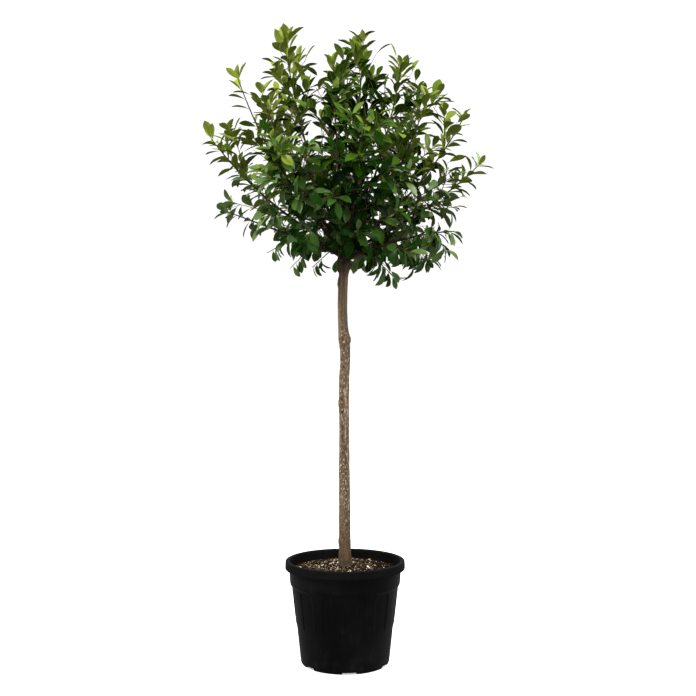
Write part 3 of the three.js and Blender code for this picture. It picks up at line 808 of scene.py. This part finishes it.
twiglet_shape = (shoot_count, twigs_per_shoot, twiglets_per_twig)
twiglet_share = np.linspace(0.3, 0.82, twiglets_per_twig) + dice.uniform(-0.06, 0.06, twiglet_shape)
twig_axis = carriers(twigs)
has_twig = (twigs[2] > 0)[..., None]
twiglet_turn = twig_turn[..., None] + golden_turn * (1 + np.arange(twiglets_per_twig))
twiglet_turn = twiglet_turn + dice.normal(0, 0.3, twiglet_shape)
twiglet_length = (0.095 - 0.05 * twiglet_share) * dice.uniform(0.7, 1.15, twiglet_shape)
twiglet_length = twiglet_length * has_twig
twiglets = branch_off(
    branch_at(twig_axis, twiglet_share), branch_along(twig_axis, twiglet_share), twiglet_turn, twiglet_lean,
    twig_lift[:, None, None], twiglet_length, twig_curl[:, None, None],
)

spray_shoot = [list(shoots).index(row[0]) for row in loose_sprays]
spray_share, spray_bearing, spray_dip, spray_length = np.array([row[1:] for row in loose_sprays]).T
spray_bearing = np.radians(spray_bearing)
spray_foot = limb_at(np.tile(spray_share, (shoot_count, 1)))[spray_shoot, np.arange(len(spray_shoot))]
spray_way = unit(polar(1, spray_bearing, spray_dip))
sprays = spray_foot, spray_way, spray_length, 0 * spray_length


def branch_paths(branches, points):
    """Paths of the side branches that were kept, as (branch, point, 3)."""
    kept = branches[2] > 0
    chosen = carriers(part[kept] for part in branches)
    return branch_at(chosen, np.linspace(0, 1, points)[None])


stem_points, twig_points, twiglet_points = 36, 9, 6
stem_t = np.tile(np.linspace(old_wood_share - 0.01, 1.0, stem_points), (shoot_count, 1))
stem_radii = (limb_radius(stem_t) * swollen(stem_t, 26, 0.14))[..., None]
twig_paths = np.concatenate([branch_paths(twigs, twig_points), branch_paths(sprays, twig_points)])
twig_way = np.linspace(0, 1, twig_points)
twig_radii = (0.0017 - 0.0007 * twig_way) * swollen(twig_way, 4, 0.2)
twiglet_paths = branch_paths(twiglets, twiglet_points)
twiglet_radii = 0.0011 - 0.0004 * np.linspace(0, 1, twiglet_points)
stem_finish = finish("shoot_bark", rgb(54, 44, 27), 0.6, 0.2)[0]
twig_finish = finish("twig_bark", rgb(66, 62, 30), 0.6, 0.2)[0]
twiglet_finish = finish("twiglet_green", rgb(74, 84, 30), 0.55, 0.2)[0]
foliage_nodes = ["foliage_" + name for name in shoots]
piece("shoot_stems", *rods(limb_at(stem_t), stem_radii, 7), [stem_finish], "foliage", foliage_nodes)
piece("twigs", *rods(twig_paths, twig_radii[:, None], 6), [twig_finish], "foliage", foliage_nodes)
piece("twiglets", *rods(twiglet_paths, twiglet_radii[:, None], 5), [twiglet_finish], "foliage",
      foliage_nodes)


# Leaves: evergreen, leathery and glossy, alternate along every young shoot, elliptic with
# a short point, folded a little along the midrib and arched towards the tip. The youngest
# are yellow-green and old ones deep green; the tints also carry painted light, lighter
# high up and outside, darker inside as painted shade, and low ones greener and bluer as
# painted shade and a painted reflection of the sky. Undersides are paler and dull.

dice = np.random.default_rng(3913)
leaf_length = 0.057
leaf_width = 0.0250
leaf_stalk = 0.007
leaf_thickness = 0.0005
leaf_stations = np.array([0.0, 0.1, 0.27, 0.47, 0.66, 0.83, 0.94, 1.0])
leaf_outline = np.array([0.0, 0.28, 0.65, 0.94, 1.0, 0.72, 0.28, 0.0])
# Tints from the youngest leaves to the oldest; as they are dealt by painted light too, the darker ones,
# down to shade, also stand for painted shade inside the crown.
tints = {
    "tip": ((138, 154, 42), 0.10),
    "young": ((115, 130, 35), 0.10),
    "bright": ((103, 120, 31), 0.08),
    "full": ((82, 103, 21), 0.08),
    "deep": ((54, 83, 12), 0.045),
    "dark": ((23, 54, 4), 0.015),
    "shade": ((6, 26, 1), 0.01),
}
tint_limits = [4.6, 3.8, 3.1, 2.4, 1.7, 1.0]
low_limit = 0.36
shaded_middle, shaded_half = [-0.03, 0, 1.46], [0.40, 0.44, 0.30]
shaded_share = 0.70
leaf_overhang = 0.008
wood_room = 0.012
leaf_rows = []


def add_leaves(foot, along, turn, droop, spread, size, youth, spray, wanted):
    """Collects leaves, which stand off their twig by their spread, turned round it and then
    down by their droop: foot, heading, size, how young each is and its spray's painted
    light and tone, from which its tint is dealt."""
    shape = foot.shape[:-1]
    droop, spread = (np.broadcast_to(value, shape)[..., None] for value in (droop, spread))
    out = sideways(along, turn) - droop * upward
    out = unit(out - along * (out * along).sum(axis=-1, keepdims=True))
    heading = out * np.sin(spread) + along * np.cos(spread)
    heading = unit(heading + dice.normal(0, 0.13, heading.shape))
    values = [np.broadcast_to(value, shape)[..., None] for value in (size, youth, spray)]
    row = np.concatenate([foot, heading, *values], axis=-1)
    leaf_rows.append(row[np.broadcast_to(wanted, shape)])


def along_axis(first, last, count, shape):
    """Shares of the leaves along an axis, evenly spaced and a little uneven."""
    step = (last - first) / max(count - 1, 1)
    return np.linspace(first, last, count) + dice.uniform(-0.3, 0.3, (*shape, count)) * step


leaves_on_shoot, leaves_on_twig, leaves_on_twiglet, leaves_on_tip = 32, 9, 2, 4
leaves_on_spray = 6
# Each shoot's painted light, with a random tone added per shoot, per twig and per twiglet.
shoot_tone_and_painted_light = shoot_painted_light[:, None] + dice.normal(0, 0.15, (shoot_count, 1))
twig_tone_and_painted_light = shoot_tone_and_painted_light + dice.normal(0, 0.4, (shoot_count, twigs_per_shoot))
twiglet_tone_and_painted_light = twig_tone_and_painted_light[..., None] + dice.normal(0, 0.35, twiglet_shape)

s = along_axis(0.2, 0.97, leaves_on_shoot, (shoot_count,))
t = bare_share + (1 - bare_share) * s.clip(0, 0.985)
count = np.arange(leaves_on_shoot)
spread = leaf_spread[:, None] + dice.normal(0, 0.12, t.shape)
wanted = dice.random(t.shape) < 0.3 + 0.8 * shoot_fullness[:, None]
add_leaves(limb_at(t), limb_along(t), phase[:, None] + golden_turn * (count + 0.5),
           0.5 * leaf_droop[:, None], spread, 1.05 - 0.2 * s, s**2, shoot_tone_and_painted_light, wanted)

s = along_axis(0.2, 0.95, leaves_on_twig, shoot_shape)
count = np.arange(leaves_on_twig)
spread = leaf_spread[:, None, None] + dice.normal(0, 0.14, s.shape)
size = dice.uniform(0.82, 1.12, s.shape)
add_leaves(branch_at(twig_axis, s), branch_along(twig_axis, s), twig_turn[..., None] + golden_turn * count,
           leaf_droop[:, None, None], spread, size, 0.6 * s**2, twig_tone_and_painted_light[..., None], has_twig)

s = along_axis(0.35, 0.9, leaves_on_twiglet, twiglet_shape)
twiglet_axis = carriers(twiglets)
count = np.arange(leaves_on_twiglet)
spread = leaf_spread[:, None, None, None] + dice.normal(0, 0.14, s.shape)
size = dice.uniform(0.74, 1.05, s.shape)
turn = twiglet_turn[..., None] + golden_turn * count
add_leaves(branch_at(twiglet_axis, s), branch_along(twiglet_axis, s), turn, leaf_droop[:, None, None, None],
           spread, size, 0.3 + 0.4 * s, twiglet_tone_and_painted_light[..., None], (twiglets[2] > 0)[..., None])

count = np.arange(leaves_on_tip)
tip_size = np.array([0.92, 0.8, 0.66, 0.5])
tip_spread = np.array([0.75, 0.55, 0.35, 0.15])
t = np.full((shoot_count, leaves_on_tip), 0.995)
add_leaves(limb_at(t), limb_along(t), phase[:, None] + golden_turn * count, 0.3 * leaf_droop[:, None],
           tip_spread, tip_size, 1.5, shoot_tone_and_painted_light, True)
s = np.ones((*shoot_shape, leaves_on_tip))
turn = twig_turn[..., None] + golden_turn * (count + 0.4)
add_leaves(branch_at(twig_axis, s), branch_along(twig_axis, s), turn, 0.6 * leaf_droop[:, None, None],
           tip_spread, tip_size, 1.0, twig_tone_and_painted_light[..., None], has_twig)

spray_axis = carriers(sprays)
s = along_axis(0.5, 0.97, leaves_on_spray, (len(loose_sprays),))
add_leaves(branch_at(spray_axis, s), branch_along(spray_axis, s), golden_turn * np.arange(leaves_on_spray),
           2.5, 1.2, dice.uniform(0.5, 0.68, s.shape), 0.2, 1.4, True)

leaf_table = np.concatenate(leaf_rows)


def clear_of_wood(points, room):
    """True for points that lie further than `room` from the trunk and from every bough."""
    along_bough = limb_at(np.tile(np.linspace(0, old_wood_share, 14), (shoot_count, 1))).reshape(-1, 3)
    from_bough = np.linalg.norm(points[:, None] - along_bough, axis=-1).min(axis=1)
    x, y, z = points.T
    from_trunk = np.hypot(x - trunk_axis(z), y) - trunk_radius(z)
    return (from_bough > room) & ((from_trunk > room) | (z > trunk_top))


leaf_foot, leaf_way, leaf_size = np.split(leaf_table[:, :7], [3, 6], axis=1)
leaf_reach = leaf_size * (leaf_length + leaf_stalk) * leaf_way
inwards = 1 - np.linalg.norm((leaf_foot - shaded_middle) / shaded_half, axis=1)
shaded_out = dice.random(len(leaf_foot)) < shaded_share * smoothstep(0.3, 0.65, inwards)
kept = in_crown(leaf_foot + leaf_reach, -leaf_overhang) & ~shaded_out
kept = kept & clear_of_wood(leaf_foot + 0.6 * leaf_reach, wood_room)
leaf_reach = leaf_reach[kept]
leaf_columns = np.split(leaf_table[kept], [3, 6, 7, 8], axis=1)
leaf_foot, leaf_way, leaf_size, leaf_youth, leaf_tone_and_painted_light = leaf_columns
leaf_count = len(leaf_foot)
leaf_lift = np.interp(leaf_foot[:, 2:], [1.25, 1.55, 1.66, 1.80], [0.5, 1.5, 1.3, 0.5])
light_way = unit(leaf_foot + 0.5 * leaf_reach - [0, 0, 1.40]) + leaf_lift * upward
light_way = light_way + dice.normal(0, 0.33, (leaf_count, 3))
leaf_face = unit(light_way - leaf_way * (light_way * leaf_way).sum(axis=1, keepdims=True))
leaf_level = np.cross(leaf_way, leaf_face)
leaf_sag = dice.uniform(0.15, 0.5, (leaf_count, 1))
leaf_sag = leaf_sag * np.interp(leaf_foot[:, 2:], [1.55, 1.75], [1.0, 0.55])
leaf_fold = dice.uniform(0.15, 0.5, (leaf_count, 1))
leaf_slim = dice.uniform(0.84, 1.12, (leaf_count, 1))


def leaf_frame(x, y, z):
    """Points from lengths along each leaf, across it and above its face."""
    return (leaf_foot[:, None] + x[..., None] * leaf_way[:, None]
            + y[..., None] * leaf_level[:, None] + z[..., None] * leaf_face[:, None])


def midrib(u):
    """Lengths along each leaf and above its face at the shares u of its blade: bent down
    by the square of the way along, and shortened to suit."""
    length = leaf_size * leaf_length
    along = leaf_size * leaf_stalk + length * (u - 0.25 * leaf_sag**2 * u**3)
    return along, -length * leaf_sag * u**2


def leaf_blades():
    """Each blade is two sheets on one outline: half the width by station along the midrib,
    edges raised by the fold."""
    u = leaf_stations
    half = 0.5 * leaf_size * leaf_slim * leaf_width * leaf_outline
    x, bend = midrib(u)
    thick = leaf_thickness * np.sin(np.pi * np.clip(u, 0.04, 0.96))
    middle = leaf_frame(x, 0 * x, bend)
    under = leaf_frame(x, 0 * x, bend - thick)
    left = leaf_frame(x, half, bend + leaf_fold * half)
    right = leaf_frame(x, -half, bend + leaf_fold * half)
    inner = slice(1, len(u) - 1)
    blade = np.stack([left[:, inner], middle[:, inner], right[:, inner], under[:, inner]], axis=2)
    points = np.concatenate([blade.reshape(leaf_count, -1, 3), middle[:, :1], middle[:, -1:]], axis=1)
    return points, *turned_faces(len(u) - 2, 4)


def leaf_stalks():
    """A stalk from the twig to the blade, which goes on as the midrib under the blade."""
    u = np.array([-0.15, 0.0, 0.3, 0.65, 0.95])
    x, bend = midrib(np.maximum(u, 0))
    lower = np.where(u < 0.2, 0.0, 0.0003)
    paths = leaf_frame(np.where(u < 0, 0, x), 0 * x, bend - lower)
    radii = np.array([0.0007, 0.0007, 0.0006, 0.00045, 0.0002])
    return rods(paths, radii[:, None], 4)


blade_points, blade_quads, blade_tris = leaf_blades()
leaf_middle = leaf_foot + 0.5 * leaf_size * leaf_length * leaf_way
height_share = np.clip((leaf_middle[:, 2:] - 1.2) / 0.65, 0, 1)
out_share = (leaf_middle - [0, 0, 1.5]) / [0.44, 0.44, 0.4]
out_share = np.linalg.norm(out_share, axis=1, keepdims=True).clip(0, 1.1)
# A leaf's tint goes by its age and by painted light: leaves high up and at the outside of the crown are
# dealt lighter tints and inner ones darker, as painted shade; youth lightens a leaf less lower down, where
# the crown is shaded; and each shoot's painted light and tone is added.
age_tone_and_painted_light = -0.3 + height_share + 1.7 * out_share**2 + (0.2 + 0.7 * height_share**2) * leaf_youth
age_tone_and_painted_light = age_tone_and_painted_light + leaf_tone_and_painted_light + dice.normal(0, 0.4, (leaf_count, 1))
tint_of_leaf = np.digitize(age_tone_and_painted_light[:, 0], tint_limits)
# Low leaves, which get the painted-shade copies of their tint.
low_in_crown = height_share[:, 0] + dice.normal(0, 0.1, leaf_count) < low_limit
for index, (tint, (colour, gloss)) in enumerate(tints.items()):
    chosen = np.flatnonzero(tint_of_leaf == index)
    offset = blade_points.shape[1] * np.arange(len(chosen))[:, None, None]
    faces = [(offset + blade_quads).reshape(-1, 4), (offset + blade_tris).reshape(-1, 3)]
    finishes = []
    # Low leaves take a painted-shade copy of each tint, greener and with blue added as a painted reflection
    # of the sky, and glossier.
    for place, cast, sheen in (("", (1.0, 1.0, 1.0), 1.0), ("_low", (0.90, 0.97, 2.0), 2.4)):
        upper = np.array(colour) * cast
        under = 0.86 * upper + 0.2 * upper.mean()
        name = "leaf_" + tint + place
        finishes.append(finish(name, rgb(*upper), 0.32, sheen * gloss)[0])
        finishes.append(finish(name + "_underside", rgb(*under), 0.62, 0.5 * gloss)[0])
    # A ring's first two faces are the upper sheet; low leaves take the second pair of
    # finishes, the painted-shade copies.
    beneath = [np.tile([0, 0, 1, 1], len(group) // 4) for group in faces]
    lower = [2 * np.repeat(low_in_crown[chosen], len(group)) for group in (blade_quads, blade_tris)]
    piece("leaves_" + tint, blade_points[chosen].reshape(-1, 3), faces, finishes, "foliage", foliage_nodes,
          np.concatenate(beneath) + np.concatenate(lower), sharp=55)

stalk_finish = finish("leaf_stalk", rgb(124, 134, 66), 0.55, 0.1)[0]
piece("leaf_stalks", *leaf_stalks(), [stalk_finish], "foliage", foliage_nodes)


# Studio: a plain pale floor, soft white light all round, a large soft lamp on each side
# above and in front of the plant, and a level camera at the photographed distance.

floor_sides, floor_rings = 96, 16


def floor_surface():
    """Flat disc of rings of growing radius, facing up."""
    rings = polar(np.geomspace(0.2, 4000, floor_rings)[:, None], all_round(floor_sides), 0)
    quads, fans = turned_faces(floor_rings, floor_sides)
    faces = [quads[:, ::-1], fans[:floor_sides, ::-1]]
    return np.concatenate([rings.reshape(-1, 3), [[0, 0, 0]]]), faces


floor_paint, paint_sockets = finish("floor_paint", rgb(250, 250, 250), 0.9, 0.0)
paint_sockets["Emission Color"].default_value = rgb(255, 255, 255)
paint_sockets["Emission Strength"].default_value = 0.45
floor = solid("studio_floor", *floor_surface(), [floor_paint])
floor.visible_diffuse = floor.visible_glossy = False

world = bpy.data.worlds.new("studio")
world.use_nodes = True
background = world.node_tree.nodes["Background"].inputs
ray = Socket(world.node_tree).node("TexCoord", None, "Generated")
above = ray.node("SeparateXYZ", None, "Z", {0: ray}).step(-0.25, 0.02)
above.feed(background["Color"], above.blend((0.35, 0.35, 0.35, 1), (1, 1, 1, 1)))
background["Strength"].default_value = 1.08
bpy.context.scene.world = world
bpy.context.scene.view_settings.view_transform = "Standard"

for name, side, energy in (("left_lamp", -1, 160), ("right_lamp", 1, 130)):
    lamp = bpy.data.lights.new(name, "AREA")
    lamp.energy = energy
    lamp.size = 1.6
    lamp_object = in_scene(name, lamp)
    lamp_object.location = (side * 2.5, -1.3, 3.5)
    lamp_object.rotation_euler = (np.radians(52), 0, side * np.radians(62))

camera = bpy.data.cameras.new("camera")
camera.lens = 54.6
camera.sensor_width = 36
camera_object = in_scene("camera", camera)
camera_object.location = (0.0088, -3.172, 0.943)
camera_object.rotation_euler = (np.radians(90), 0, 0)
bpy.context.scene.camera = camera_object

bpy.context.view_layer.update()
